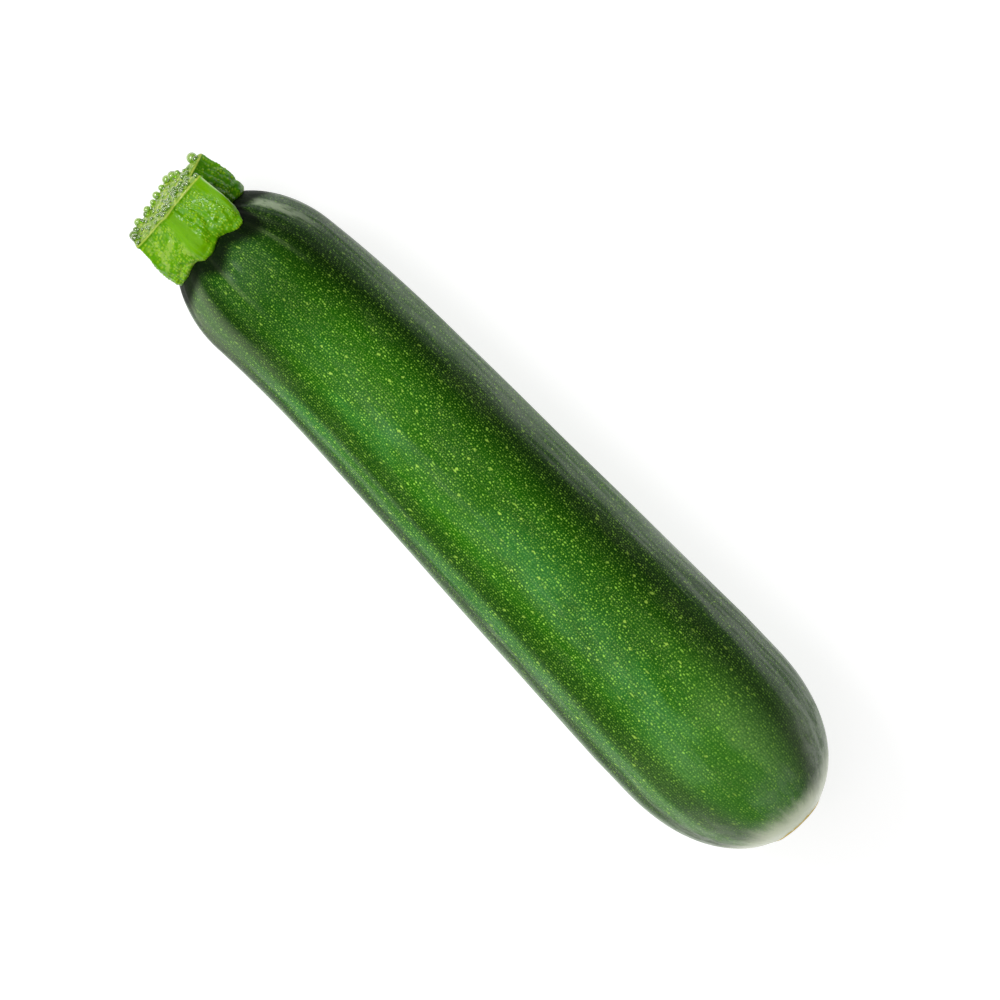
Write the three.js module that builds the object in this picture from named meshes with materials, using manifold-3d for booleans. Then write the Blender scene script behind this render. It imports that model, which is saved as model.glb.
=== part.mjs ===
// A courgette as picked and trimmed, lying on its side: the fruit, and the stub of stalk that it grew on.
// Millimetres, +Z up. X runs along the fruit, from the stalk at -X to the blossom end at +X, and Y is
// across it. The origin is on the surface that the courgette lies on, under the middle of its box.
import * as THREE from "three";
import { mergeVertices } from "three/addons/utils/BufferGeometryUtils.js";
import Module from "manifold-3d";

const wasm = await Module();
wasm.setup();

// Driving dimensions of the fruit. Its own X starts at the pole hidden under the stalk.
const FRUIT_LENGTH = 192.7; // neck pole to blossom pole
const NECK_RADIUS = 17.6; // what the barrel would have at the neck pole
const BELLY_RADIUS = 23.1; // at the thickest place
const BELLY_X = 150;
const BARREL_POWER = 0.93; // below 1, the barrel widens more near the neck
const NECK_CAP = 23; // length of the rounded shoulder
const BLOSSOM_CAP = 32.4; // length of the rounded blossom end
const BLOSSOM_BLUNTNESS = 2.14; // 2 is an ellipse, and more is blunter
const SCAR_RADIUS = 4; // corky disc where the flower fell off
const SCAR_DEPTH = 0.9;
const SCAR_EDGE = 4; // power of its fall to the rim, and more is steeper

// The neck bends sideways and up, over its first stretch.
const NECK_BEND_LENGTH = 59.5;
const NECK_BEND_SIDE = -4.8;
const NECK_BEND_UP = 3;

// The underside is bowed a little, so that it rests on one small flat spot under its weight.
const REST_X = 104;
const BOW_SPAN = 65;
const BOW_RISE = 0.8; // at BOW_SPAN from REST_X
const FLAT_DEPTH = 0.4;

// Soft ribs run the length of the fruit, each from one ridge of the stalk.
const RIB_ANGLES = [12, 62, 108, 155, 218, 288]; // degrees round the fruit, from +Y over the top
const RIB_WIDTH = 15; // degrees
const RIB_HEIGHT_NECK = 1.0;
const RIB_HEIGHT_BODY = 0.4;
const RIB_FADE_LENGTH = 36;

// The stalk: a six-ridged stub, cut square, which spreads into a scalloped foot over the neck.
const STALK_ABOVE_POLE = 6.6; // from the fruit's neck pole to the cut
const CUT_SLANT = 0.05; // how much deeper the cut is, for each millimetre up
const STALK_LINES = [
  // The lines of its ridges and furrows, each as degrees and radius at the cut, degrees and radius at the
  // foot, and how far below the cut the foot's rim reaches there. Degrees go from +Y over the top.
  [-6, 13.0, 12, 13.6, 12.4],
  [28, 8.2, 43, 10.6, 10.7],
  [51, 14.3, 56, 14.9, 12.6],
  [60, 10.8, 67, 15.0, 15.4],
  [88, 8.6, 86, 12.6, 12.4],
  [108, 9.4, 108, 14.4, 13.7],
  [121, 8.7, 127, 12.4, 12.1],
  [161, 12.9, 156, 15.2, 13.8],
  [184, 11.8, 187, 13.4, 12.4],
  [214, 12.9, 218, 14.2, 13.8],
  [248, 9.0, 252, 11.4, 11.6],
  [284, 12.4, 288, 13.8, 13.6],
  [322, 9.2, 328, 11.2, 11.4],
];
const RIDGE_SHARPNESS = 1.5; // 1 rises straight from furrow to ridge, and more is rounder in the furrow
const SPREAD_DOWN = 0.75; // share of the way down at which the stalk has spread as wide as its foot
const FOOT_EDGE = 1.3; // radius of the rounded rim
const CUT_CHAMFER = 0.25;
const STALK_CORE_DEPTH = 12; // how far the middle would reach, before the fruit is taken off it
const JOINT_GAP = 0.3; // between the stalk and the fruit

// Beads of sap stand on the cut.
const BEAD_COUNT = 42;
const BEAD_RADIUS_MIN = 0.55;
const BEAD_RADIUS_MAX = 1.1;
const BEAD_SINK = 0.35; // share of its radius that a bead's centre lies below the cut
const BEAD_TURN = 137.5; // degrees from each bead to the next
const BEAD_SPREAD = 0.9; // share of the cut's radius that they cover

const FRUIT_SIDES = 64;
const FRUIT_RINGS = 44;
const STALK_SIDES = 91; // seven for each of its lines
const STALK_SIDE_RINGS = 8;
const RIM_RINGS = 4;
const MERGE_DISTANCE = 1e-4;
const TANGENT_STEP = 0.01;
const GOLDEN_RATIO = (1 + Math.sqrt(5)) / 2;

const radians = THREE.MathUtils.degToRad;
const clamp = THREE.MathUtils.clamp;

// The fruit's centreline and its girth.

function barrelRadius(x) {
  const t = clamp(x / BELLY_X, 0, 1);
  return NECK_RADIUS + (BELLY_RADIUS - NECK_RADIUS) * t ** BARREL_POWER;
}

function fruitRadius(x) {
  const neck = clamp(1 - x / NECK_CAP, 0, 1);
  const blossom = clamp(1 - (FRUIT_LENGTH - x) / BLOSSOM_CAP, 0, 1);
  const neckCap = Math.sqrt(1 - neck ** 2);
  const blossomCap = (1 - blossom ** BLOSSOM_BLUNTNESS) ** (1 / BLOSSOM_BLUNTNESS);
  return barrelRadius(x) * neckCap * blossomCap;
}

function centre(x) {
  const bend = Math.max(0, 1 - x / NECK_BEND_LENGTH) ** 2;
  const bow = BOW_RISE * ((x - REST_X) / BOW_SPAN) ** 2;
  const z = barrelRadius(x) - FLAT_DEPTH + bow + NECK_BEND_UP * bend;
  return new THREE.Vector3(x, NECK_BEND_SIDE * bend, z);
}

// The directions along, across and up at a place on the centreline.
function axes(x) {
  const along = centre(x + TANGENT_STEP).sub(centre(x - TANGENT_STEP)).normalize();
  const across = new THREE.Vector3(0, 0, 1).cross(along).normalize();
  return { along, across, up: along.clone().cross(across) };
}

function degreesApart(a, b) {
  return THREE.MathUtils.euclideanModulo(a - b + 180, 360) - 180;
}

function ribHeight(x, angle) {
  const nearNeck = Math.exp(-x / RIB_FADE_LENGTH);
  const height = RIB_HEIGHT_BODY + (RIB_HEIGHT_NECK - RIB_HEIGHT_BODY) * nearNeck;
  const share = RIB_ANGLES.reduce(
    (sum, rib) => sum + Math.exp(-((degreesApart(angle, rib) / RIB_WIDTH) ** 2)),
    0,
  );
  return height * share * (fruitRadius(x) / barrelRadius(x));
}

// A place on the skin, where share is 1, or on the centreline, where it is 0. Extra makes it fatter.
function fruitPoint(x, angle, share, extra) {
  const radius = fruitRadius(x);
  const { along, across, up } = axes(x);
  const scar = SCAR_DEPTH * Math.exp(-((radius / SCAR_RADIUS) ** SCAR_EDGE));
  const dimple = x > FRUIT_LENGTH / 2 ? scar : 0;
  const r = share * (radius + ribHeight(x, angle) + extra);
  return centre(x)
    .addScaledVector(across, r * Math.cos(radians(angle)))
    .addScaledVector(up, r * Math.sin(radians(angle)))
    .addScaledVector(along, -dimple);
}

// Bends a lathe's rings into shape. The lathe's own Y is the first argument of place, its angle the
// second and its radius the third. The axes that place uses mirror the lathe's own, so the profiles run
// from high Y to low to face outwards.
function reshape(lathe, place) {
  const position = lathe.getAttribute("position");
  for (let i = 0; i < position.count; i++) {
    const radius = Math.hypot(position.getX(i), position.getZ(i));
    const angle = THREE.MathUtils.radToDeg(Math.atan2(position.getZ(i), position.getX(i)));
    const p = place(position.getY(i), angle, radius);
    position.setXYZ(i, p.x, p.y, p.z);
  }
  return lathe;
}

// A closed geometry as a solid. The triangles that a lathe folds up at its poles are left out.
function solidOf(geometry) {
  const bare = geometry.clone();
  bare.deleteAttribute("normal");
  bare.deleteAttribute("uv");
  const merged = mergeVertices(bare, MERGE_DISTANCE);
  const triVerts = [];
  for (let i = 0; i < merged.index.count; i += 3) {
    const [a, b, c] = merged.index.array.slice(i, i + 3);
    if (a !== b && b !== c && c !== a) triVerts.push(a, b, c);
  }
  return new wasm.Manifold(
    new wasm.Mesh({
      numProp: 3,
      vertProperties: merged.getAttribute("position").array,
      triVerts: new Uint32Array(triVerts),
    }),
  );
}

function geometryOf(solid) {
  const mesh = solid.getMesh();
  const geometry = new THREE.BufferGeometry();
  geometry.setAttribute("position", new THREE.BufferAttribute(mesh.vertProperties, 3));
  geometry.setIndex(new THREE.BufferAttribute(mesh.triVerts, 1));
  return geometry;
}

// The fruit, and a copy that is fatter all over by extra, for cutting the stalk to fit.
function fruitLathe(extra) {
  const profile = [];
  for (let i = 0; i <= FRUIT_RINGS; i++) {
    const x = (FRUIT_LENGTH * (1 - Math.cos((Math.PI * i) / FRUIT_RINGS))) / 2;
    const onAxis = i === 0 || i === FRUIT_RINGS;
    profile.push(new THREE.Vector2(onAxis ? 0 : 1, x));
  }
  const lathe = new THREE.LatheGeometry(profile.reverse(), FRUIT_SIDES);
  return reshape(lathe, (x, angle, share) => {
    const lengthened = x < NECK_CAP ? -extra : 0;
    return fruitPoint(x, angle, share, extra).addScaledVector(axes(x).along, lengthened);
  });
}

function makeFruit() {
  const size = 2 * FRUIT_LENGTH;
  const below = new THREE.BoxGeometry(size, size, size).translate(0, 0, -size / 2);
  return geometryOf(solidOf(fruitLathe(0)).subtract(solidOf(below)));
}

// The stalk stands on the neck pole, along the neck's own direction.

// The line down the stalk at a turn round it, from 0 to 360, with the listed lines at even steps.
function stalkLine(turn) {
  const count = STALK_LINES.length;
  const place = (THREE.MathUtils.euclideanModulo(turn, 360) / 360) * count;
  const i = Math.floor(place) % count;
  const [from, to] = [STALK_LINES[i], STALK_LINES[(i + 1) % count]];
  const share = place - Math.floor(place);
  const turned = (k) => from[k] + THREE.MathUtils.euclideanModulo(to[k] - from[k], 360) * share;
  const rising = (k) => {
    const falls = from[k] > to[k];
    const mix = falls ? 1 - (1 - share) ** RIDGE_SHARPNESS : share ** RIDGE_SHARPNESS;
    return THREE.MathUtils.lerp(from[k], to[k], mix);
  };
  return {
    cutAngle: turned(0),
    cutRadius: rising(1),
    footAngle: turned(2),
    footRadius: rising(3),
    rimDepth: THREE.MathUtils.lerp(from[4], to[4], (1 - Math.cos(Math.PI * share)) / 2),
  };
}

// A place on the stalk: down is 0 at the cut and 1 at the foot's rim, and inward is its share of the
// wall's radius.
function stalkPoint(down, turn, inward) {
  const line = stalkLine(turn);
  const spread = THREE.MathUtils.smoothstep(down, 0, SPREAD_DOWN);
  const r = inward * THREE.MathUtils.lerp(line.cutRadius, line.footRadius, spread);
  const angle = radians(THREE.MathUtils.lerp(line.cutAngle, line.footAngle, down));
  const rim = THREE.MathUtils.lerp(STALK_CORE_DEPTH, line.rimDepth, inward);
  const depth = THREE.MathUtils.lerp(CUT_SLANT * r * Math.sin(angle), rim, down);
  const { along, across, up } = axes(0);
  return centre(0)
    .addScaledVector(along, depth - STALK_ABOVE_POLE)
    .addScaledVector(across, r * Math.cos(angle))
    .addScaledVector(up, r * Math.sin(angle));
}

function stalkLathe() {
  const nominal = BELLY_RADIUS / 2;
  const chamfer = CUT_CHAMFER / nominal;
  const edge = FOOT_EDGE / nominal;
  const profile = [new THREE.Vector2(0, 0), new THREE.Vector2(1 - chamfer, 0)];
  const sideEnd = 1 - edge;
  for (let i = 0; i <= STALK_SIDE_RINGS; i++) {
    const down = chamfer + ((sideEnd - chamfer) * i) / STALK_SIDE_RINGS;
    profile.push(new THREE.Vector2(1, down));
  }
  for (let i = 1; i <= RIM_RINGS; i++) {
    const turn = (Math.PI / 2) * (i / RIM_RINGS);
    const inward = 1 - edge * (1 - Math.cos(turn));
    profile.push(new THREE.Vector2(inward, sideEnd + edge * Math.sin(turn)));
  }
  profile.push(new THREE.Vector2(0, 1));
  const lathe = new THREE.LatheGeometry(profile.reverse(), STALK_SIDES, Math.PI / 2);
  return reshape(lathe, (down, angle, inward) => stalkPoint(down, angle, inward));
}

// The beads' sizes go by multiples of the golden ratio, which look unordered and never change.
function bead(i) {
  const turn = i * BEAD_TURN;
  const inward = BEAD_SPREAD * Math.sqrt((i + 0.5) / BEAD_COUNT);
  const draw = THREE.MathUtils.euclideanModulo(i * GOLDEN_RATIO, 1);
  const radius = THREE.MathUtils.lerp(BEAD_RADIUS_MIN, BEAD_RADIUS_MAX, draw);
  const place = stalkPoint(0, turn, inward).addScaledVector(axes(0).along, BEAD_SINK * radius);
  return new THREE.IcosahedronGeometry(radius, 1).translate(place.x, place.y, place.z);
}

function makeStalk() {
  let solid = solidOf(stalkLathe()).subtract(solidOf(fruitLathe(JOINT_GAP)));
  for (let i = 0; i < BEAD_COUNT; i++) {
    solid = solid.add(solidOf(bead(i)));
  }
  return geometryOf(solid);
}

const fruitSkin = new THREE.MeshStandardMaterial({ color: 0x1f5a12, roughness: 0.35, metalness: 0 });
const stalkFlesh = new THREE.MeshStandardMaterial({ color: 0x6fae1e, roughness: 0.5, metalness: 0 });

const fruit = new THREE.Mesh(makeFruit(), fruitSkin);
fruit.name = "fruit";
const stalk = new THREE.Mesh(makeStalk(), stalkFlesh);
stalk.name = "stalk";

const courgette = new THREE.Group();
courgette.add(fruit, stalk);

// The middle of the box is put over the origin.
const middle = new THREE.Box3().setFromObject(courgette).getCenter(new THREE.Vector3());
courgette.position.set(-middle.x, -middle.y, 0);

export default courgette;
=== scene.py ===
import math
from functools import lru_cache

import bmesh
import bpy
from mathutils import Matrix, Vector, noise


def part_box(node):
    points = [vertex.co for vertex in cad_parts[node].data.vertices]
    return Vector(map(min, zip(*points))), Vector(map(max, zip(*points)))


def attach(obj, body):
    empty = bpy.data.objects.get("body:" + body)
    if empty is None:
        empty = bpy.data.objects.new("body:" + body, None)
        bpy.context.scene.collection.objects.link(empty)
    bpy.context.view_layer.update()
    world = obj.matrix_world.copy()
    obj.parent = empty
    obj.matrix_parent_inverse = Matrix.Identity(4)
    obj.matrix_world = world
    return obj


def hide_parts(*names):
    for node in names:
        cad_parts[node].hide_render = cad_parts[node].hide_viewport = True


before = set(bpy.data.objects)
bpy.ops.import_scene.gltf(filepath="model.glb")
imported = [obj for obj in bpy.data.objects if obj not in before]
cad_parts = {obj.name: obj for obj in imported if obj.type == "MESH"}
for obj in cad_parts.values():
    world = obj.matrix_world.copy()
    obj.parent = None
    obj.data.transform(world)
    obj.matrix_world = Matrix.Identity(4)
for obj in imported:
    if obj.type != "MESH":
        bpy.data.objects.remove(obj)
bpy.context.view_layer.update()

# The picture is taken from almost straight above, from a little towards the stalk, and from far
# enough away that both ends show at the same scale. The fruit runs from upper left to lower right.
CAMERA_LEAN = math.radians(8)  # from straight down, towards the stalk
CAMERA_ROLL = math.radians(46.24)
CAMERA_DISTANCE = 1.4
CAMERA_AIM = Vector((0, 0, 0.022))
CAMERA_MOVED_RIGHT = 0.00199
CAMERA_MOVED_UP = 0.00007
SENSOR_WIDTH = 36
PICTURE_WIDTH = 0.2227  # metres across, at the aim

lean_cos = math.cos(CAMERA_LEAN)
lean_sin = math.sin(CAMERA_LEAN)
roll_cos = math.cos(CAMERA_ROLL)
roll_sin = math.sin(CAMERA_ROLL)
camera_back = Vector((-lean_sin, 0, lean_cos))
camera_along = Vector((lean_cos, 0, lean_sin))
camera_across = Vector((0, 1, 0))
camera_right = camera_along * roll_cos + camera_across * roll_sin
camera_up = camera_across * roll_cos - camera_along * roll_sin
camera_place = CAMERA_AIM + camera_back * CAMERA_DISTANCE
camera_place += camera_right * CAMERA_MOVED_RIGHT + camera_up * CAMERA_MOVED_UP

camera = bpy.data.objects.new("camera", bpy.data.cameras.new("camera"))
bpy.context.scene.collection.objects.link(camera)
camera.data.sensor_width = SENSOR_WIDTH
camera.data.lens = SENSOR_WIDTH * CAMERA_DISTANCE / PICTURE_WIDTH
camera.matrix_world = Matrix.Translation(camera_place) @ Matrix(
    (camera_right, camera_up, camera_back)
).transposed().to_4x4()
bpy.context.scene.camera = camera
bpy.context.scene.view_settings.view_transform = "Standard"

# The fruit is picked young, in one piece. Its thin hard skin is dark green and glossy, with pale
# flecks in rows along its length. Soft ribs run on from the stalk's ridges, and fade towards the
# blossom end.
MM = 0.001
FRUIT_LENGTH = 192.7  # in millimetres, as every size of the fruit and the stalk
NECK_RADIUS = 17.6
BELLY_RADIUS = 23.1
BELLY_X = 150
BARREL_POWER = 0.93
NECK_CAP = 23
BLOSSOM_CAP = 32.4
BLOSSOM_BLUNTNESS = 2.14
SCAR_RADIUS = 4
SCAR_DEPTH = 0.9
SCAR_EDGE = 4
SCAR_LIP_RADIUS = 6.1
SCAR_LIP_WIDTH = 1.3
SCAR_LIP_HEIGHT = 0.3
NECK_BEND_LENGTH = 59.5
NECK_BEND_SIDE = -4.8
NECK_BEND_UP = 3
REST_X = 104
BOW_SPAN = 65
BOW_RISE = 0.8
FLAT_DEPTH = 0.4
RIB_ANGLES = [12, 62, 108, 155, 218, 288]  # degrees round the fruit, from +Y over the top
RIB_WIDTH = 15
RIB_HEIGHT_NECK = 1.0
RIB_HEIGHT_BODY = 0.4
RIB_FADE_LENGTH = 36
TANGENT_STEP = 0.01
SWELL_LENGTH = 34  # long shallow swellings of the skin
SWELL_ROUND = 3.2
SWELL_HEIGHT = 0.16
PUCKER_ROUND = 7.5  # fine uneven ridges that run out from under the stalk
PUCKER_HEIGHT = 0.8
PUCKER_FADE = 8
CREST_WIDTH = 2.1  # degrees, of the narrow crest that each rib starts with
CREST_HEIGHT = 0.35
CREST_FADE = 9
STREAK_ROUND = 9  # faint furrows along the skin
STREAK_HEIGHT = 0.1
FRUIT_RINGS = 250
FRUIT_SIDES = 360
POLE_MERGE = 1e-4  # how far apart a pole's copies may lie after the spin


def clamp(value, low=0.0, high=1.0):
    return max(low, min(high, value))


def lerp(a, b, share):
    return a + (b - a) * share


def barrel_radius(x):
    return lerp(NECK_RADIUS, BELLY_RADIUS, clamp(x / BELLY_X) ** BARREL_POWER)


def fruit_radius(x):
    neck = clamp(1 - x / NECK_CAP)
    blossom = clamp(1 - (FRUIT_LENGTH - x) / BLOSSOM_CAP)
    neck_cap = math.sqrt(1 - neck**2)
    blossom_cap = max(0, 1 - blossom**BLOSSOM_BLUNTNESS) ** (1 / BLOSSOM_BLUNTNESS)
    return barrel_radius(x) * neck_cap * blossom_cap


def centre(x):
    bend = max(0, 1 - x / NECK_BEND_LENGTH) ** 2
    bow = BOW_RISE * ((x - REST_X) / BOW_SPAN) ** 2
    z = barrel_radius(x) - FLAT_DEPTH + bow + NECK_BEND_UP * bend
    return Vector((x, NECK_BEND_SIDE * bend, z))


@lru_cache(maxsize=None)
def axes(x):
    """The directions along, across and up at a place on the centreline."""
    along = (centre(x + TANGENT_STEP) - centre(x - TANGENT_STEP)).normalized()
    across = Vector((0, 0, 1)).cross(along).normalized()
    return along, across, along.cross(across)


def rib_share(angle, width):
    apart = [(angle - rib + 180) % 360 - 180 for rib in RIB_ANGLES]
    return sum(math.exp(-((a / width) ** 2)) for a in apart)


def skin_relief(x, angle):
    """What stands out from the smooth barrel: ribs, slight swellings, and puckers by the stalk."""
    near_neck = math.exp(-x / RIB_FADE_LENGTH)
    ribs = lerp(RIB_HEIGHT_BODY, RIB_HEIGHT_NECK, near_neck) * rib_share(angle, RIB_WIDTH)
    across = math.cos(math.radians(angle))
    up = math.sin(math.radians(angle))
    swell_place = Vector((x / SWELL_LENGTH, SWELL_ROUND * across, SWELL_ROUND * up))
    swell = SWELL_HEIGHT * noise.noise(swell_place)
    streak_place = Vector((x / SWELL_LENGTH, STREAK_ROUND * across, STREAK_ROUND * up))
    streaks = STREAK_HEIGHT * noise.noise(streak_place)
    relief = ribs + swell + streaks
    if x < FRUIT_LENGTH / 2:
        pucker_place = Vector((x / SWELL_LENGTH, PUCKER_ROUND * across, PUCKER_ROUND * up))
        relief += PUCKER_HEIGHT * noise.noise(pucker_place) * math.exp(-x / PUCKER_FADE)
        relief += CREST_HEIGHT * rib_share(angle, CREST_WIDTH) * math.exp(-x / CREST_FADE)
    return relief * fruit_radius(x) / barrel_radius(x)


def fruit_point(x, angle, share):
    """A place on the skin, where share is 1, or on the centreline, where it is 0."""
    radius = fruit_radius(x)
    along, across, up = axes(x)
    scar = SCAR_DEPTH * math.exp(-((radius / SCAR_RADIUS) ** SCAR_EDGE))
    lip = SCAR_LIP_HEIGHT * math.exp(-(((radius - SCAR_LIP_RADIUS) / SCAR_LIP_WIDTH) ** 2))
    dimple = scar - lip if x > FRUIT_LENGTH / 2 else 0
    r = share * (radius + skin_relief(x, angle))
    turn = math.radians(angle)
    return centre(x) + across * (r * math.cos(turn)) + up * (r * math.sin(turn)) - along * dimple


def lathe(profile, sides):
    """A closed skin of revolution round X, from a profile of distances along X and from it."""
    mesh = bmesh.new()
    chain = [mesh.verts.new((along, out, 0)) for along, out in profile]
    edges = [mesh.edges.new(pair) for pair in zip(chain, chain[1:])]
    bmesh.ops.spin(
        mesh,
        geom=chain + edges,
        cent=(0, 0, 0),
        axis=(1, 0, 0),
        angle=2 * math.pi,
        steps=sides,
        use_merge=True,
    )
    bmesh.ops.remove_doubles(mesh, verts=mesh.verts, dist=POLE_MERGE)
    bmesh.ops.recalc_face_normals(mesh, faces=mesh.faces)
    return mesh


def finished_piece(name, mesh, material):
    """A piece of the courgette with smooth shading, riding on its only body."""
    data = bpy.data.meshes.new(name)
    mesh.to_mesh(data)
    mesh.free()
    data.polygons.foreach_set("use_smooth", [True] * len(data.polygons))
    data.materials.append(material)
    piece = bpy.data.objects.new(name, data)
    bpy.context.scene.collection.objects.link(piece)
    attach(piece, "root")
    return piece


fruit_low, fruit_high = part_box("fruit")
fruit_profile = []
for ring in range(FRUIT_RINGS + 1):
    x = FRUIT_LENGTH * (1 - math.cos(math.pi * ring / FRUIT_RINGS)) / 2
    fruit_profile.append((x, 0 if ring in (0, FRUIT_RINGS) else 1))
fruit_mesh = lathe(fruit_profile, FRUIT_SIDES)
straight_layer = fruit_mesh.verts.layers.float_vector.new("straight")
for vert in fruit_mesh.verts:
    x = round(vert.co.x, 4)
    share = min(1, round(math.hypot(vert.co.y, vert.co.z), 4))
    turn = math.atan2(vert.co.z, vert.co.y)
    girth = share * fruit_radius(x)
    vert[straight_layer] = (x * MM, girth * math.cos(turn) * MM, girth * math.sin(turn) * MM)
    vert.co = fruit_point(x, math.degrees(turn), share) * MM

# The fruit's box is put where the solid's is, and its underside is pressed flat where it rests.
skin_lows = [min(vert.co[k] for vert in fruit_mesh.verts) for k in range(3)]
skin_highs = [max(vert.co[k] for vert in fruit_mesh.verts) for k in range(3)]
place_on_solid = Vector(
    (
        (fruit_low.x + fruit_high.x - skin_lows[0] - skin_highs[0]) / 2,
        (fruit_low.y + fruit_high.y - skin_lows[1] - skin_highs[1]) / 2,
        0,
    )
)
for vert in fruit_mesh.verts:
    vert.co += place_on_solid
    vert.co.z = max(vert.co.z, 0)


class Value:
    """What one node hands on. Sums, differences, products and quotients add Math nodes."""

    def __init__(self, finish, socket):
        self.finish = finish
        self.socket = socket

    def math(self, operation, *terms):
        return self.finish.node("ShaderNodeMath", {"operation": operation}, dict(enumerate(terms)))

    def __add__(self, other):
        return self.math("ADD", self, other)

    def __radd__(self, other):
        return self.math("ADD", other, self)

    def __sub__(self, other):
        return self.math("SUBTRACT", self, other)

    def __rsub__(self, other):
        return self.math("SUBTRACT", other, self)

    def __mul__(self, other):
        return self.math("MULTIPLY", self, other)

    def __rmul__(self, other):
        return self.math("MULTIPLY", other, self)

    def __truediv__(self, other):
        return self.math("DIVIDE", self, other)

    def __pow__(self, other):
        return self.math("POWER", self, other)


class Finish:
    """A procedural material, whose nodes are added one by one."""

    def __init__(self, name):
        self.material = bpy.data.materials.new(name)
        self.material.use_nodes = True
        self.tree = self.material.node_tree
        self.surface = self.tree.nodes["Principled BSDF"]

    def put(self, socket, value):
        if isinstance(value, Value):
            self.tree.links.new(value.socket, socket)
        elif isinstance(value, tuple) and len(value) == 3 and len(socket.default_value) == 4:
            socket.default_value = (*value, 1)
        else:
            socket.default_value = value

    def node(self, kind, settings, inputs, output=0):
        made = self.tree.nodes.new(kind)
        for name, value in settings.items():
            setattr(made, name, value)
        for name, value in inputs.items():
            self.put(made.inputs[name], value)
        return Value(self, made.outputs[output])

    def feed(self, **inputs):
        """Sets or links sockets of the surface. Their names have _ for each space."""
        for name, value in inputs.items():
            self.put(self.surface.inputs[name.replace("_", " ")], value)

    def blend(self, share, first, second):
        """A colour from first to second."""
        return self.node("ShaderNodeMix", {"data_type": "RGBA"}, {0: share, 6: first, 7: second}, 2)

    def step(self, value, low, high):
        """Rises softly from 0 at low to 1 at high, and falls where low is the greater."""
        settings = {"interpolation_type": "SMOOTHSTEP"}
        return self.node("ShaderNodeMapRange", settings, {"Value": value, 1: low, 2: high})

    def vector(self, x, y, z):
        return self.node("ShaderNodeCombineXYZ", {}, {"X": x, "Y": y, "Z": z})

    def parts(self, vector):
        """The three numbers of a vector."""
        split = self.node("ShaderNodeSeparateXYZ", {}, {0: vector}).socket.node
        return [Value(self, out) for out in split.outputs]

    def ramp(self, value, stops):
        """A value between the listed ones, each given as place and value."""
        made = self.node("ShaderNodeValToRGB", {}, {0: value})
        marks = made.socket.node.color_ramp.elements
        for place, height in stops[1:-1]:
            marks.new(place).color = (height, height, height, 1)
        for mark, (place, height) in zip((marks[0], marks[len(marks) - 1]), (stops[0], stops[-1])):
            mark.position = place
            mark.color = (height, height, height, 1)
        return made

    def attribute(self, name):
        return self.node("ShaderNodeAttribute", {"attribute_name": name}, {}, "Vector")

    def cells(self, place, scale, randomness, dimensions="2D"):
        """The distance to the nearest of scattered points, and a colour drawn for each point."""
        settings = {"voronoi_dimensions": dimensions}
        inputs = {"Vector": place, "Scale": scale, "Randomness": randomness}
        found = self.node("ShaderNodeTexVoronoi", settings, inputs).socket.node
        return Value(self, found.outputs["Distance"]), Value(self, found.outputs["Color"])

    def mottle(self, place, scale, detail, roughness=0.5):
        """Soft noise, mostly between 0.3 and 0.7."""
        inputs = {"Vector": place, "Scale": scale, "Detail": detail, "Roughness": roughness}
        return self.node("ShaderNodeTexNoise", {}, inputs, "Fac")

    def bump(self, height, distance, strength):
        inputs = {"Height": height, "Distance": distance, "Strength": strength}
        return self.node("ShaderNodeBump", {}, inputs)


FLECK_ROWS = 216  # round the fruit
FLECK_STEP = 0.8 * MM  # along a row
FLECK_SCATTER = 0.45  # 0 for an even row, 1 for no row at all
FLECK_RADIUS_MIN = 0.14  # as shares of the step
FLECK_RADIUS_SPREAD = 0.24
FINE_ROWS = 330
FINE_STEP = 0.45 * MM
SPOT_ROWS = 44
SPOT_STEP = 5 * MM
SPOT_RADIUS_MIN = 0.035
SPOT_RADIUS_SPREAD = 0.065
DASH_ROWS = 60
DASH_STEP = 16 * MM
SHOULDER_TURN = 30  # degrees, of a painted highlight streak on the shoulder by the stalk
SHOULDER_WIDTH = (7, 2)  # degrees to each side where it begins and where it is full
NECK_HAZE_TURN = 146  # and of a hazy patch there
NECK_HAZE_WIDTH = (17, 5)
NECK_CREST_WIDTH = (2.4, 0.2)

# How far along the fruit each of these begins and where it is full.
DASHES_ALONG = (30 * MM, 50 * MM)
NECK_CREST_ALONG = (28 * MM, 6 * MM)
SHOULDER_ALONG = (25 * MM, 10 * MM)
NECK_HAZE_ALONG = (48 * MM, 18 * MM)
NECK_SHADE_ALONG = (48 * MM, 22 * MM)
NECK_TOP_ALONG = (60 * MM, 20 * MM)
NECK_FEW_FLECKS_ALONG = (50 * MM, 15 * MM)
END_FEW_FLECKS_ALONG = (145 * MM, 178 * MM)
PALE_ALONG = (105 * MM, 160 * MM)
END_PALE_ALONG = (142 * MM, 172 * MM)
END_FLANKS_SHEEN_ALONG = (164 * MM, 180 * MM)

# How far from the centreline, and for the painted shadow in the crevice from the stalk's foot, in
# the same way.
SHOULDER_GIRTH = (12 * MM, 14 * MM)
BLOSSOM_GIRTH = (18 * MM, 11.5 * MM)
SCAR_GIRTH = (7.6 * MM, 6.8 * MM)
SCAR_RIM_GIRTH = (5.2 * MM, 7.0 * MM)
CREVICE_SHADOW_GAP = (2.3 * MM, 0.3 * MM)

# How high on the fruit's side, from -1 under it to 1 at its top, in the same way.
BLOSSOM_UP = (-0.5, 0.5)
END_FLANKS_SHEEN_UP = (0.97, 0.7)
NECK_TOP_UP = (0.3, 0.75)

# How many soft marks of each kind there are to a metre.
BROAD_SCALE = 34
PATCH_SCALE = 75
ROW_WANDER_SCALE = 90
HAZE_SCALE = 140
WAX_SCALE = 260
STREAK_SCALE = 750
ROW_SLIP_SCALE = 800
FINE_SCALE = 900
RAGGED_SCALE = 1500

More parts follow.
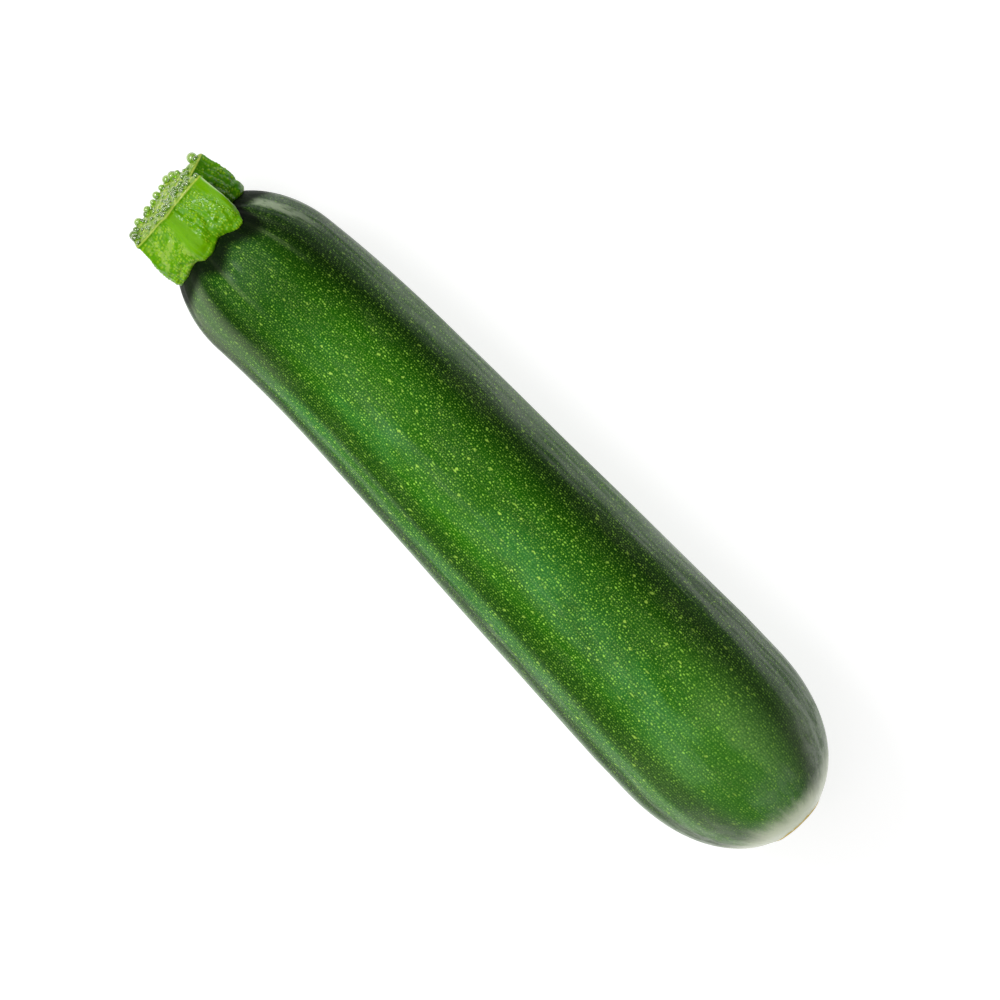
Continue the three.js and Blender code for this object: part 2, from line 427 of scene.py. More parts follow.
# Rays run out from the middle of the blossom end, and make the edges of its pale cap uneven.
RAY_SCALE = 5  # marks to a radian
RAY_CHANGE = 25  # how fast they change outwards
BLOSSOM_WANDER = 6 * MM
SCAR_WANDER = 2.4 * MM
SKIN_GRAIN_DEPTH = 0.13 * MM

LIT_AND_STRIPED_ROUND = [
    # How light the skin is round the fruit, as degrees from +Y over the top, and the share of the
    # lightest. From 36 to 63 degrees it is painted shade on the side turned from the light, it is
    # darker underneath, and the dips at 126 and 153 degrees are darker stripes along the skin.
    (-90, 0.55),
    (-20, 0.5),
    (20, 0.6),
    (36, 0.45),
    (44, 0.3),
    (53, 0.22),
    (63, 0.52),
    (76, 0.92),
    (92, 0.95),
    (108, 1.0),
    (118, 0.9),
    (126, 0.48),
    (136, 0.4),
    (141, 0.88),
    (147, 0.78),
    (153, 0.25),
    (159, 0.3),
    (168, 0.7),
    (180, 0.6),
    (225, 0.5),
    (270, 0.55),
]
GLOSS_ROUND = [
    # How glossy it is, in the same way. One rib is rubbed dull, and so is one hollow.
    (-90, 0.8),
    (6, 0.62),
    (15, 0.75),
    (24, 1.0),
    (36, 1.0),
    (41, 0.7),
    (44, 0.2),
    (55, 0.2),
    (62, 0.7),
    (85, 0.62),
    (118, 0.62),
    (124, 0.42),
    (132, 0.45),
    (139, 1.0),
    (147, 1.0),
    (153, 0.2),
    (158, 0.25),
    (167, 0.7),
    (270, 0.8),
]
STRIPE_AND_SHEEN_ROUND = [
    # How much bluish green there is, in the same way: partly lighter stripes of the skin's own,
    # partly a painted sheen where the lights and the floor would be reflected.
    (-90, 0.4),
    (30, 0.1),
    (70, 0.0),
    (84, 0.25),
    (97, 0.9),
    (112, 1.0),
    (120, 0.6),
    (127, 0.0),
    (136, 0.0),
    (141, 0.9),
    (148, 0.9),
    (153, 0.1),
    (160, 0.2),
    (270, 0.4),
]
FOOT_ROUND = [
    # How far the stalk's foot reaches out over the skin, in the same way, as share of FOOT_REACH.
    (-90, 0.63),
    (-72, 0.69),
    (-32, 0.56),
    (12, 0.68),
    (43, 0.54),
    (56, 0.73),
    (67, 0.73),
    (86, 0.64),
    (108, 0.71),
    (127, 0.62),
    (156, 0.73),
    (187, 0.67),
    (218, 0.70),
    (252, 0.58),
    (270, 0.63),
]
FOOT_REACH = 20 * MM

SKIN_DARK = (0.014, 0.115, 0.0003)
SKIN_GREEN = (0.030, 0.205, 0.0005)
SKIN_STRIPE_AND_SHEEN = (0.048, 0.292, 0.042)
SKIN_PALE = (0.085, 0.270, 0.030)
SKIN_HAZE = (0.130, 0.200, 0.070)
SKIN_SHADE = (0.001, 0.004, 0.0003)
SKIN_BLOSSOM_AND_SHEEN = (0.84, 0.92, 0.62)
SKIN_END = (0.19, 0.42, 0.11)
SKIN_CREST = (0.20, 0.30, 0.12)
SKIN_SHOULDER = (0.46, 0.56, 0.36)
SCAR_BROWN = (0.46, 0.38, 0.20)
SCAR_RIM = (0.86, 0.60, 0.05)
FLECK_GREEN = (0.50, 1.0, 0.100)
FLECK_YELLOW = (0.58, 0.95, 0.120)

skin = Finish("courgette_skin")
straight = skin.attribute("straight")
along, across, up = skin.parts(straight)
turned = across.math("ARCTAN2", across, up)
girth = (across * across + up * up) ** 0.5
full_turn = 2 * math.pi
blossom_half = skin.step(along, 0.45 * FRUIT_LENGTH * MM, 0.55 * FRUIT_LENGTH * MM)


def drawn_out(share, scale, detail, roughness=0.5):
    """Soft noise whose marks are drawn out along the fruit, to their width divided by share."""
    return skin.mottle(skin.vector(along * share, across, up), scale, detail, roughness)


patches = drawn_out(0.4, PATCH_SCALE, 3, 0.6)
broad = drawn_out(0.3, BROAD_SCALE, 2)
streaks = drawn_out(0.07, STREAK_SCALE, 4, 0.65)

# Small flecks stand in rows, a few merge into larger yellow spots, and the ground between is
# finely grained.
row_wander = (skin.mottle(straight, ROW_WANDER_SCALE, 2) - 0.5) * 1.4
rows = turned * (FLECK_ROWS / full_turn) + row_wander
row_shift = skin.node(
    "ShaderNodeTexWhiteNoise",
    {"noise_dimensions": "1D"},
    {"W": rows.math("FLOOR", rows)},
)
row_slip = (skin.mottle(straight, ROW_SLIP_SCALE, 1) - 0.5) * 1.6
fleck_place = skin.vector(along / FLECK_STEP + row_shift + row_slip, rows, 0)
fleck_far, fleck_draw = skin.cells(fleck_place, 1, FLECK_SCATTER)
fleck_size, fleck_light, _ = skin.parts(fleck_draw)
fleck_reach = FLECK_RADIUS_MIN + FLECK_RADIUS_SPREAD * fleck_size * fleck_size
flecks = skin.step(fleck_far / fleck_reach, 1.15, 0.55) * (0.12 + 0.88 * fleck_light)
between = skin.step(fleck_far, 0.28, 0.6)

fine_place = skin.vector(along / FINE_STEP, turned * (FINE_ROWS / full_turn), 0)
fine_far, fine_draw = skin.cells(fine_place, 1, 0.9)
fine_flecks = skin.step(fine_far, 0.4, 0.1) * skin.parts(fine_draw)[0]

ragged = (skin.mottle(straight, RAGGED_SCALE, 2) - 0.5) * 0.2
spot_rows = turned * (SPOT_ROWS / full_turn) + ragged * 1.5
spot_far, spot_draw = skin.cells(skin.vector(along / SPOT_STEP + ragged, spot_rows, 0), 1, 1)
spot_size, spot_light, _ = skin.parts(spot_draw)
spot_reach = SPOT_RADIUS_MIN + SPOT_RADIUS_SPREAD * spot_size
spots = skin.step(spot_far / spot_reach, 1.15, 0.6) * skin.step(spot_light, 0.35, 0.7)

dash_rows = turned * (DASH_ROWS / full_turn) + row_wander * 0.3
dash_far, dash_draw = skin.cells(skin.vector(along / DASH_STEP, dash_rows * 0.5, 0), 1, 1)
dashes = skin.step(dash_far, 0.05, 0.02) * skin.step(skin.parts(dash_draw)[0], 0.7, 0.85)
dashes = dashes * skin.step(along, *DASHES_ALONG)


def near_turns(degrees_round, outer, inner):
    """1 within inner degrees of any of the listed turns, falling to 0 at outer degrees from it."""
    total = 0
    for degrees in degrees_round:
        apart = across.math("COSINE", turned - math.radians(90 - degrees), 0)
        near = [math.cos(math.radians(reach)) for reach in (outer, inner)]
        total = total + skin.step(apart, *near)
    return total


def round_ramp(list_round, wander):
    """The value listed for a place's turn round the fruit, shifted by wander, in radians."""
    stops = [((90 - degrees) / 360 + 0.5, value) for degrees, value in reversed(list_round)]
    return skin.ramp((turned + wander) / full_turn + 0.5, stops)


slow_wander = (broad - 0.5) * 0.24
neck_crest = near_turns(RIB_ANGLES, *NECK_CREST_WIDTH) * skin.step(along, *NECK_CREST_ALONG)
shoulder_highlight = near_turns([SHOULDER_TURN], *SHOULDER_WIDTH) * skin.step(along, *SHOULDER_ALONG)
shoulder_highlight = shoulder_highlight * skin.step(girth, *SHOULDER_GIRTH) * skin.step(streaks, 0.3, 0.55)
neck_haze = near_turns([NECK_HAZE_TURN], *NECK_HAZE_WIDTH) * skin.step(along, *NECK_HAZE_ALONG)
stripe_and_sheen = round_ramp(STRIPE_AND_SHEEN_ROUND, slow_wander)
lit_and_striped = round_ramp(LIT_AND_STRIPED_ROUND, slow_wander)
ray_place = skin.vector(across / girth, up / girth, girth * RAY_CHANGE)
rays = skin.mottle(ray_place, RAY_SCALE, 4, 0.65)
blossom_reach = girth + (broad - 0.5) * BLOSSOM_WANDER + (rays - 0.5) * BLOSSOM_WANDER
blossom = blossom_half * skin.step(blossom_reach, *BLOSSOM_GIRTH)
blossom = blossom * (0.5 + 0.5 * skin.step(up / girth, *BLOSSOM_UP))
scar_reach = girth + (rays - 0.5) * SCAR_WANDER
scar = blossom_half * skin.step(scar_reach, *SCAR_GIRTH)
scar_rim = skin.step(scar_reach, *SCAR_RIM_GIRTH)
beyond_foot = girth - round_ramp(FOOT_ROUND, slow_wander) * FOOT_REACH
crevice_shadow = (1 - blossom_half) * skin.step(beyond_foot, *CREVICE_SHADOW_GAP)
neck_shade = skin.step(along, *NECK_SHADE_ALONG)
end_flanks_sheen = skin.step(along, *END_FLANKS_SHEEN_ALONG) * skin.step(up / girth, *END_FLANKS_SHEEN_UP)
fleck_ends = 1 - 0.5 * skin.step(along, *NECK_FEW_FLECKS_ALONG)
fleck_ends = fleck_ends * (1 - 0.5 * skin.step(along, *END_FEW_FLECKS_ALONG))

# The ground's greens come first, then its haze, the flecks, and the marks at both ends.
ground = skin.blend(skin.step(broad, 0.36, 0.62), SKIN_DARK, SKIN_GREEN)
# Painted sheen, together with the skin's own lighter stripes: the bluish green band along the
# fruit.
stripe_and_sheen_here = stripe_and_sheen * (0.85 - 0.6 * neck_shade) * skin.step(patches, 0.38, 0.6)
ground = skin.blend(stripe_and_sheen_here, ground, SKIN_STRIPE_AND_SHEEN)
pale = skin.step(along, *PALE_ALONG) * skin.step(patches, 0.4, 0.62) * (1 - stripe_and_sheen)
ground = skin.blend(pale * 0.55, ground, SKIN_PALE)
end_pale = skin.step(along, *END_PALE_ALONG) * (0.35 + 0.65 * skin.step(patches, 0.4, 0.6))
ground = skin.blend(end_pale * 0.6, ground, SKIN_END)
ground = skin.blend(between * 0.4, ground, SKIN_DARK)
# Painted shade: the ground darkens towards near black on the side turned from the light,
# underneath, and by the neck.
ground = skin.blend(lit_and_striped * (1 - 0.45 * neck_shade), SKIN_SHADE, ground)
haze = skin.step(drawn_out(0.35, HAZE_SCALE, 4, 0.7), 0.46, 0.62)
ground = skin.blend(haze * (0.05 + 0.65 * fine_flecks), ground, SKIN_HAZE)
# The flecks fade with the painted shade.
fleck_share = (0.35 + 0.65 * lit_and_striped) * fleck_ends
coloured = skin.blend(fine_flecks * fleck_share * 0.22, ground, FLECK_GREEN)
coloured = skin.blend(flecks * fleck_share * 0.85, coloured, FLECK_GREEN)
coloured = skin.blend(dashes * fleck_share * 0.6, coloured, FLECK_YELLOW)
coloured = skin.blend(spots * fleck_share * 0.78, coloured, FLECK_YELLOW)
coloured = skin.blend(neck_crest * 0.4, coloured, SKIN_CREST)
coloured = skin.blend(neck_haze * 0.2, coloured, SKIN_SHOULDER)
# Painted highlight: a pale streak along the shoulder by the stalk.
coloured = skin.blend(shoulder_highlight * 0.7, coloured, SKIN_SHOULDER)
# Painted sheen: the sides near the blossom end are lightened as if they reflected the floor.
coloured = skin.blend(end_flanks_sheen * (0.08 + 0.22 * streaks), coloured, SKIN_SHOULDER)
# The blossom end's pale cap is the skin's own, made paler still as a painted reflection of the
# bright floor on its rim.
coloured = skin.blend(blossom * (0.75 + 0.25 * rays), coloured, SKIN_BLOSSOM_AND_SHEEN)
# Painted shadow: the crevice under the stalk's foot is coloured nearly black.
coloured = skin.blend(crevice_shadow * 0.92, coloured, SKIN_SHADE)
coloured = skin.blend(scar * 0.95, coloured, skin.blend(scar_rim, SCAR_BROWN, SCAR_RIM))

# Wax and fine furrows make the gloss uneven. It is dull on the neck's top, in the crevice and on
# the scar, and strongest round the blossom end.
fine = drawn_out(0.25, FINE_SCALE, 2)
waxy = skin.mottle(straight, WAX_SCALE, 3, 0.6)
relief = fine * 0.6 + waxy * 0.4 + flecks * 0.15
neck_top = skin.step(along, *NECK_TOP_ALONG) * skin.step(up / girth, *NECK_TOP_UP)
gloss = round_ramp(GLOSS_ROUND, slow_wander + (streaks - 0.5) * 0.35)
gloss = gloss + end_flanks_sheen * (0.9 - gloss)
gloss = gloss * (0.4 + 0.6 * skin.step(streaks, 0.36, 0.6)) * (1 - 0.75 * neck_top)
gloss = (gloss + blossom * (1 - gloss)) * (1 - 0.85 * scar) * (1 - 0.9 * crevice_shadow)
skin.feed(
    Base_Color=coloured,
    Roughness=0.45 + 0.2 * waxy,
    Specular_IOR_Level=0.05,
    Coat_Weight=gloss,
    Coat_Roughness=0.26,
    Coat_IOR=1.5,
    Normal=skin.bump(relief, SKIN_GRAIN_DEPTH, 0.6),
)
fruit = finished_piece("courgette_fruit", fruit_mesh, skin.material)
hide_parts("fruit")

# The stalk is the stub of the fruit's own stem, cut off with a knife. It is firm and juicy, with
# hard ridges that stay smooth, rough pimpled furrows between them, and a foot that grips the
# fruit's shoulder.
STALK_ABOVE_POLE = 6.6
CUT_SLANT = 0.05
STALK_LINES = [
    # The lines of its ridges and furrows, each as degrees and radius at the cut, degrees and radius
    # at the foot, how far below the cut the foot's rim reaches there, and how smooth it is from 0
    # to 1. Degrees go from +Y over the top.
    [-6, 13.0, 12, 13.6, 12.4, 0.1],
    [28, 8.2, 43, 10.6, 10.7, 0.0],
    [51, 14.3, 56, 14.9, 12.6, 1.0],
    [60, 10.8, 67, 15.0, 15.4, 0.3],
    [88, 8.6, 86, 12.6, 12.4, 0.0],
    [108, 9.4, 108, 14.4, 13.7, 1.0],
    [121, 8.7, 127, 12.4, 12.1, 0.3],
    [161, 12.9, 156, 14.7, 14.1, 0.1],
    [184, 11.8, 187, 13.4, 12.4, 0.2],
    [214, 12.9, 218, 14.2, 13.8, 0.8],
    [248, 9.0, 252, 11.4, 11.6, 0.0],
    [284, 12.4, 288, 13.8, 13.6, 0.8],
    [322, 9.2, 328, 11.2, 11.4, 0.0],
]
ARRIS_LINE = 2  # the sharp one
ARRIS_WIDTH = 1.7  # degrees
SHADED_LINES = (0, 2)  # between these the face is a darker green, painted shade on the face turned from the light
HIGHLIGHT_LINES = (5, 7)  # and between these it has painted highlights, pale patches on its wrinkles
FACE_EDGE = 8  # degrees that a face's colour takes to fade in
RIDGE_SHARPNESS = 1.5
SPREAD_DOWN = 0.75
FOOT_EDGE = 1.3
FOOT_SOFTENED = [-9, -6, -3, 0, 3, 6, 9]  # degrees over which the foot's corners are rounded
CUT_CHAMFER = 0.25
STALK_CORE_DEPTH = 12
STALK_NOMINAL = BELLY_RADIUS / 2
STALK_SIDES = 44 * len(STALK_LINES)
CUT_RINGS = 40
STALK_SIDE_RINGS = 104
RIM_RINGS = 8
UNDER_RINGS = 4
PIMPLE_ROWS = 132  # round the stalk
PIMPLE_STEP = 0.72  # along a row
PIMPLE_HEIGHT = 0.15
PIMPLE_SIZE_MIN = 0.45
PIMPLE_SIZE_SPREAD = 0.9
PIMPLE_ASIDE = 0.3  # rows, that a pimple may stand out of its own
WRINKLE_LENGTH = 5
WRINKLE_ROUND = 9
WRINKLE_HEIGHT = 0.26
CREASE_STEP = 1.4
CREASE_HEIGHT = 0.42
WORN = 0.15  # that the wrinkled parts lie below the plain form, most on the -Y side
GRAIN_STEP = 0.95  # between the wet cells of the cut
GRAIN_HEIGHT = 0.28
CUT_LUMP_STEP = 2.2
CUT_LUMP_HEIGHT = 0.5
DOME_REACH = 0.5
FOOT_ROUGHNESS = 0.6  # share of a ridge's smoothness that is lost at the foot
RIDGE_CALM = 0.6  # share of the wrinkles that a smooth ridge lacks
PIMPLES_SMOOTHNESS = (0.25, 0.7)  # that the pimples fade over

# Shares of the way down the stalk, and out from its middle, that each of these fades over.
CUT_DOWN = (0, 0.02)
CUT_OUT = (1, 0.96)
SIDE_DOWN = (0.02, 0.08)
SIDE_OUT = (0.8, 1)
CREASES_DOWN = (0.1, 0.5)
CORNERS_DOWN = (0.5, 1)
FOOT_DOWN = (0.6, 0.95)


def smooth(value, low, high):
    share = clamp((value - low) / (high - low))
    return share * share * (3 - 2 * share)


@lru_cache(maxsize=None)
def stalk_line(turn):
    """The line down the stalk at a turn round it, with the listed lines at even steps."""
    place = turn % 360 / 360 * len(STALK_LINES)
    i = int(place) % len(STALK_LINES)
    start, end = STALK_LINES[i], STALK_LINES[(i + 1) % len(STALK_LINES)]
    share = place - int(place)

    def turned_by(k):
        return start[k] + (end[k] - start[k]) % 360 * share

    def rising(k):
        falls = start[k] > end[k]
        mix = 1 - (1 - share) ** RIDGE_SHARPNESS if falls else share**RIDGE_SHARPNESS
        return lerp(start[k], end[k], mix)

    rim = lerp(start[4], end[4], (1 - math.cos(math.pi * share)) / 2)
    smoothness = lerp(start[5], end[5], smooth(share, 0.2, 0.8))
    return turned_by(0), rising(1), turned_by(2), rising(3), rim, smoothness


@lru_cache(maxsize=None)
def foot_shape(turn):
    """The foot's radius and how far its rim reaches down, with rounded corners."""
    lines = [stalk_line((turn + away) % 360) for away in FOOT_SOFTENED]
    return sum(line[3] for line in lines) / len(lines), sum(line[4] for line in lines) / len(lines)


@lru_cache(maxsize=None)
def stalk_place(down, turn, inward):
    """Depth below the cut, degrees and radius of a place on the stalk."""
    cut_angle, cut_radius, foot_angle, foot_radius, rim_depth, _ = stalk_line(turn)
    soft_radius, soft_rim = foot_shape(turn)
    softened = smooth(down, *CORNERS_DOWN)
    foot_radius = lerp(foot_radius, soft_radius, softened)
    radius = inward * lerp(cut_radius, foot_radius, smooth(down, 0, SPREAD_DOWN))
    angle = math.radians(lerp(cut_angle, foot_angle, down))
    rim = lerp(STALK_CORE_DEPTH, lerp(rim_depth, soft_rim, softened), inward)
    depth = lerp(CUT_SLANT * radius * math.sin(angle), rim, down)
    return depth, angle, radius


def stalk_point(down, turn, inward):
    depth, angle, radius = stalk_place(down, turn, inward)
    along, across, up = axes(0)
    start = centre(0) + along * (depth - STALK_ABOVE_POLE)
    return start + across * (radius * math.cos(angle)) + up * (radius * math.sin(angle))


def on_face(turn, first_line, last_line):
    """1 on the stalk's face between two of its lines, falling to 0 beyond it."""
    line_step = 360 / len(STALK_LINES)
    away = abs((turn - (first_line + last_line) / 2 * line_step + 180) % 360 - 180)
    half = (last_line - first_line) / 2 * line_step
    return 1 - smooth(away, half - FACE_EDGE, half)


def domes(place, step):
    """Round bumps scattered a step apart, 1 at their tops and 0 between them."""
    distances, _ = noise.voronoi(place / step)
    return max(0, 1 - (distances[0] / DOME_REACH) ** 2)


def pimple_rows(depth, turn):
    """Round bumps of uneven sizes, in rows down the stalk. A cell's last number picks its draw."""
    row = turn / 360 * PIMPLE_ROWS
    row_number = round(row)
    drawn = noise.cell(Vector((row_number % PIMPLE_ROWS, 0.5, 0.5)))
    step = depth / PIMPLE_STEP + drawn
    step_number = round(step)
    size_draw = noise.cell(Vector((row_number % PIMPLE_ROWS, step_number, 3.5)))
    size = clamp(PIMPLE_SIZE_MIN + PIMPLE_SIZE_SPREAD * size_draw)
    aside = PIMPLE_ASIDE * noise.cell(Vector((row_number % PIMPLE_ROWS, step_number, 8.5)))
    far = math.hypot(row - row_number - aside, step - step_number)
    return max(0, 1 - (far / DOME_REACH) ** 2) * size


stalk_profile = [(0, 0)]
chamfer = CUT_CHAMFER / STALK_NOMINAL
edge = FOOT_EDGE / STALK_NOMINAL
stalk_profile += [(0, (1 - chamfer) * ring / CUT_RINGS) for ring in range(1, CUT_RINGS + 1)]
for ring in range(STALK_SIDE_RINGS + 1):
    stalk_profile.append((lerp(chamfer, 1 - edge, ring / STALK_SIDE_RINGS), 1))
for ring in range(1, RIM_RINGS + 1):
    turn = math.pi / 2 * ring / RIM_RINGS
    stalk_profile.append((1 - edge + edge * math.sin(turn), 1 - edge * (1 - math.cos(turn))))
for ring in range(1, UNDER_RINGS):
    stalk_profile.append((1, (1 - edge) * (1 - ring / UNDER_RINGS)))
stalk_profile.append((1, 0))

stalk_mesh = lathe(stalk_profile, STALK_SIDES)
mark_names = ["down", "smoothness", "pimple", "arris_highlight", "shaded", "highlighted"]
marks = {name: stalk_mesh.verts.layers.float.new(name) for name in mark_names}
stalk_along, stalk_across, stalk_up = axes(0)
for vert in stalk_mesh.verts:
    down = clamp(round(vert.co.x, 5))
    inward = clamp(round(math.hypot(vert.co.y, vert.co.z), 5))
    turn = round(math.degrees(math.atan2(vert.co.z, vert.co.y)), 3)
    depth, angle, _ = stalk_place(down, turn, inward)
    place = stalk_point(down, turn, inward)
    smoothness = stalk_line(turn)[5] * (1 - smooth(down, *FOOT_DOWN) * FOOT_ROUGHNESS)
    on_cut = (1 - smooth(down, *CUT_DOWN)) * smooth(inward, *CUT_OUT)
    on_side = smooth(down, *SIDE_DOWN) * smooth(inward, *SIDE_OUT)
    pimple = pimple_rows(depth, turn) * on_side * (1 - smooth(smoothness, *PIMPLES_SMOOTHNESS))
    wrinkle_place = Vector(
        (
            depth / WRINKLE_LENGTH,
            WRINKLE_ROUND * math.cos(math.radians(turn)),
            WRINKLE_ROUND * math.sin(math.radians(turn)),
        )
    )
    wrinkle = noise.noise(wrinkle_place) * on_side
    creased = on_side * smooth(down, *CREASES_DOWN)
    crease = noise.noise(place / CREASE_STEP) * creased * (1 - smoothness)
    out = pimple * PIMPLE_HEIGHT
    out += wrinkle * WRINKLE_HEIGHT * (1 - RIDGE_CALM * smoothness)
    out += crease * CREASE_HEIGHT
    out -= WORN * (1 - math.cos(angle)) * on_side
    proud = domes(place, GRAIN_STEP) * GRAIN_HEIGHT
    proud += noise.noise(place / CUT_LUMP_STEP) * CUT_LUMP_HEIGHT
    arris_away = turn - ARRIS_LINE / len(STALK_LINES) * 360
    vert[marks["down"]] = down
    vert[marks["smoothness"]] = smoothness
    vert[marks["pimple"]] = pimple
    vert[marks["arris_highlight"]] = on_side * math.exp(-((arris_away / ARRIS_WIDTH) ** 2))
    vert[marks["shaded"]] = on_face(turn, *SHADED_LINES)
    vert[marks["highlighted"]] = on_face(turn, *HIGHLIGHT_LINES)
    place += (stalk_across * math.cos(angle) + stalk_up * math.sin(angle)) * out
    place -= stalk_along * (proud * on_cut)
    vert.co = place * MM + place_on_solid
bmesh.ops.recalc_face_normals(stalk_mesh, faces=stalk_mesh.faces)

STALK_SHADED = (0.03, 0.16, 0.001)
STALK_FURROW = (0.11, 0.36, 0.001)
STALK_RIDGE = (0.17, 0.44, 0.001)
STALK_PIMPLE = (0.40, 0.66, 0.015)
STALK_ARRIS_HIGHLIGHT = (0.66, 0.86, 0.46)
STALK_FACE_HIGHLIGHT = (0.52, 0.72, 0.14)
CUT_PALE = (0.44, 0.58, 0.07)
CUT_GREEN = (0.19, 0.36, 0.01)
CUT_EDGE = (0.60, 0.70, 0.12)

# How many soft marks of each kind there are to a metre, and how deep the finest of them are.
BLOTCH_SCALE = 420
WET_CELL_SCALE = 1100
FLESH_GRAIN_SCALE = 1400
FIBRE_SCALE = 1600
FLESH_GRAIN_DEPTH = 0.1 * MM

flesh = Finish("stalk_flesh")
body = flesh.node("ShaderNodeTexCoord", {}, {}, "Object")
down, smoothness, pimple, arris_highlight, shaded, highlighted = [
    flesh.node("ShaderNodeAttribute", {"attribute_name": name}, {}, "Fac") for name in mark_names
]
blotch = flesh.mottle(body, BLOTCH_SCALE, 3)
lengthwise, crosswise, upward = flesh.parts(body)
fibres = flesh.mottle(flesh.vector(lengthwise * 0.1, crosswise, upward), FIBRE_SCALE, 3)
ridge_share = flesh.step(smoothness + (blotch - 0.5) * 0.9, 0.05, 0.8)
side = flesh.blend(ridge_share, STALK_FURROW, STALK_RIDGE)
side = flesh.blend(flesh.step(fibres, 0.5, 0.68) * 0.4, side, STALK_FURROW)
side = flesh.blend(shaded * 0.75, side, STALK_SHADED)
# Painted highlight: pale patches on the wrinkled face between the listed lines.
highlight_patches = flesh.step(flesh.mottle(body, BLOTCH_SCALE, 4, 0.75), 0.48, 0.58)
face_highlight = highlight_patches * (1 - smoothness) * highlighted
side = flesh.blend(face_highlight * 0.6, side, STALK_FACE_HIGHLIGHT)
side = flesh.blend(pimple * (0.8 - 0.35 * shaded), side, STALK_PIMPLE)
# Painted highlight: a pale line along the sharp ridge.
side = flesh.blend(arris_highlight * 0.85, side, STALK_ARRIS_HIGHLIGHT)
wet_cells, _ = flesh.cells(body, WET_CELL_SCALE, 1, "3D")
cut = flesh.blend(flesh.step(wet_cells, 0.2, 0.6), CUT_PALE, CUT_GREEN)
cut = flesh.blend(flesh.step(down, 0.002, 0.012) * 0.5, cut, CUT_EDGE)
on_cut = flesh.step(down, 0.04, 0.02)
flesh.feed(
    Base_Color=flesh.blend(on_cut, side, cut),
    Roughness=0.45 - 0.3 * on_cut,
    Specular_IOR_Level=0.05,
    Coat_Weight=0.45 - 0.35 * smoothness * (1 - on_cut),
    Coat_Roughness=0.06,
    Subsurface_Weight=0.12,
    Subsurface_Radius=(0.6, 1.0, 0.2),
    Subsurface_Scale=0.001,
    Normal=flesh.bump(flesh.mottle(body, FLESH_GRAIN_SCALE, 3), FLESH_GRAIN_DEPTH, 0.5),
)
stalk = finished_piece("courgette_stalk", stalk_mesh, flesh.material)
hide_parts("stalk")

# Clear sap wells out of the fresh cut, and stands on it in beads that sink a little into the
# flesh. The largest hang along its lower rim.
LARGE_BEADS = [
    # Degrees of turn round the stalk, share of the way from the middle to the rim, and radius.
    (216, 0.9, 0.95),
    (229, 0.9, 1.1),
    (243, 0.84, 0.75),
    (256, 0.9, 1.0),
    (263, 0.8, 0.7),
    (271, 0.94, 0.9),
    (282, 0.93, 0.7),
    (291, 0.92, 0.9),
    (300, 0.88, 0.75),
    (308, 0.94, 1.0),
    (318, 0.9, 1.1),
    (326, 0.94, 0.7),
    (354, 0.94, 1.25),
]
BEAD_COUNT = 60
BEAD_RADIUS_MIN = 0.3
BEAD_RADIUS_MAX = 0.65
BEAD_SINK = 0.5
BEAD_TURN = 137.5
BEAD_SPREAD = 0.94
GOLDEN_RATIO = (1 + math.sqrt(5)) / 2
BEAD_SUBDIVISIONS = 3

small_beads = [
    (
        i * BEAD_TURN,
        BEAD_SPREAD * math.sqrt((i + 0.5) / BEAD_COUNT),
        lerp(BEAD_RADIUS_MIN, BEAD_RADIUS_MAX, i * GOLDEN_RATIO % 1),
    )
    for i in range(BEAD_COUNT)
]
sap_mesh = bmesh.new()
standing_layer = sap_mesh.verts.layers.float.new("standing")
for bead_turn, bead_inward, bead_radius in LARGE_BEADS + small_beads:
    on_flesh = stalk_point(0, bead_turn, bead_inward)
    bead_place = on_flesh - stalk_along * ((1 - BEAD_SINK) * bead_radius)
    bead = bmesh.ops.create_icosphere(
        sap_mesh,
        subdivisions=BEAD_SUBDIVISIONS,
        radius=bead_radius * MM,
        matrix=Matrix.Translation(bead_place * MM + place_on_solid),
    )
    for vert in bead["verts"]:
        above = (on_flesh * MM + place_on_solid - vert.co).dot(stalk_along)
        vert[standing_layer] = clamp(above / (bead_radius * MM * (2 - BEAD_SINK)))

# Painted shade: each bead is darker green at its foot, where it meets the flesh, and paler at its
# top.
SAP_FOOT_SHADE = (0.16, 0.38, 0.01)
SAP_TOP = (0.62, 0.82, 0.26)

sap = Finish("sap")
standing = sap.node("ShaderNodeAttribute", {"attribute_name": "standing"}, {}, "Fac")
sap.feed(
    Base_Color=sap.blend(sap.step(standing, 0.1, 0.95), SAP_FOOT_SHADE, SAP_TOP),
    Roughness=0.03,
    IOR=1.36,
    Specular_IOR_Level=0.5,
    Transmission_Weight=0.78,
    Coat_Weight=1.0,
    Coat_Roughness=0.03,
    Coat_IOR=1.9,
)
beads = finished_piece("sap_beads", sap_mesh, sap.material)

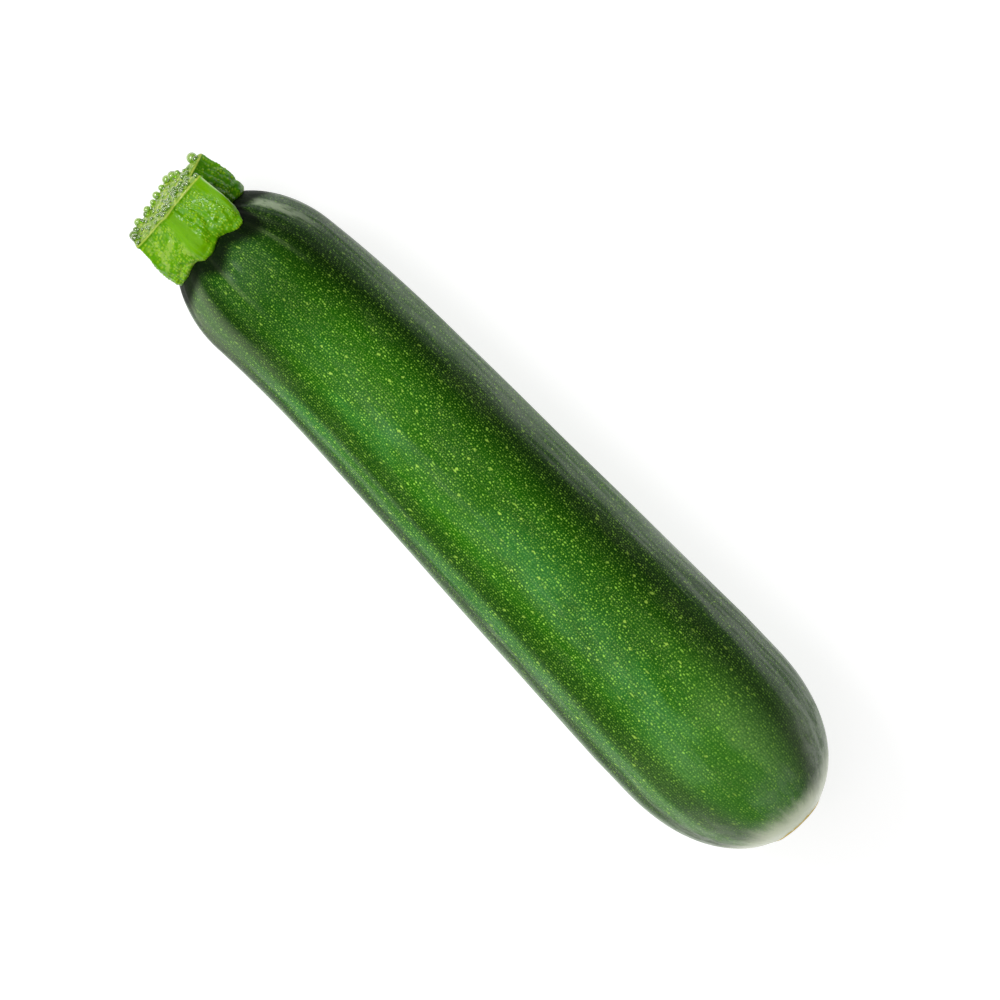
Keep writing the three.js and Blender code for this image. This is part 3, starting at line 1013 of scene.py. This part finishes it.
# The stage is a pale table lit from below, in a room that is dark above it. One large soft light
# and a smaller one stand on the stalk's side, one over the -Y side and one beyond the blossom end.
FLOOR_SIZE = 3
FLOOR_BELOW = 0.00005
FLOOR_COLOUR = (0.38, 0.38, 0.38)
FLOOR_GLOW = 0.84
FLOOR_NEAR_GLOW = (1.0, 1.0, 1.0)
FLOOR_FAR_GLOW = (0.4, 0.4, 0.4)
GLOW_NEAR = 0.21  # the near glow is full up to here, and ends at GLOW_FAR
GLOW_FAR = 0.45
ROOM_COLOUR = (0.02, 0.02, 0.02, 1)

floor_mesh = bmesh.new()
bmesh.ops.create_grid(
    floor_mesh,
    x_segments=1,
    y_segments=1,
    size=FLOOR_SIZE,
    matrix=Matrix.Translation((0, 0, -FLOOR_BELOW)),
)
floor_data = bpy.data.meshes.new("floor")
floor_mesh.to_mesh(floor_data)
floor_mesh.free()
paper = Finish("floor")
floor_x, floor_y, _ = paper.parts(paper.node("ShaderNodeTexCoord", {}, {}, "Object"))
floor_far = (floor_x * floor_x + floor_y * floor_y) ** 0.5
lit = paper.step(floor_far, GLOW_FAR, GLOW_NEAR)
paper.feed(
    Base_Color=FLOOR_COLOUR,
    Roughness=0.9,
    Specular_IOR_Level=0.0,
    Emission_Color=paper.blend(lit, FLOOR_FAR_GLOW, FLOOR_NEAR_GLOW),
    Emission_Strength=FLOOR_GLOW,
)
floor_data.materials.append(paper.material)
floor = bpy.data.objects.new("floor", floor_data)
bpy.context.scene.collection.objects.link(floor)


def round_light(name, way, distance, size, power):
    """A round soft light that faces the courgette from a given way."""
    data = bpy.data.lights.new(name, "AREA")
    data.shape = "DISK"
    data.size = size
    data.energy = power
    light = bpy.data.objects.new(name, data)
    bpy.context.scene.collection.objects.link(light)
    light.location = CAMERA_AIM + Vector(way).normalized() * distance
    light.rotation_mode = "QUATERNION"
    light.rotation_quaternion = Vector(way).to_track_quat("Z", "Y")


round_light("soft_light", way=(-0.52, -0.28, 0.8), distance=1.0, size=1.2, power=6.3)
round_light("side_light", way=(0.14, -0.6, 0.78), distance=1.0, size=0.8, power=1.3)
round_light("spark_light", way=(-0.62, -0.25, 0.74), distance=1.0, size=0.3, power=3.2)
round_light("end_light", way=(0.93, 0.05, 0.36), distance=1.0, size=0.7, power=1.5)

world = bpy.data.worlds.new("room")
bpy.context.scene.world = world
world.use_nodes = True
room = world.node_tree.nodes["Background"]
room.inputs["Color"].default_value = ROOM_COLOUR
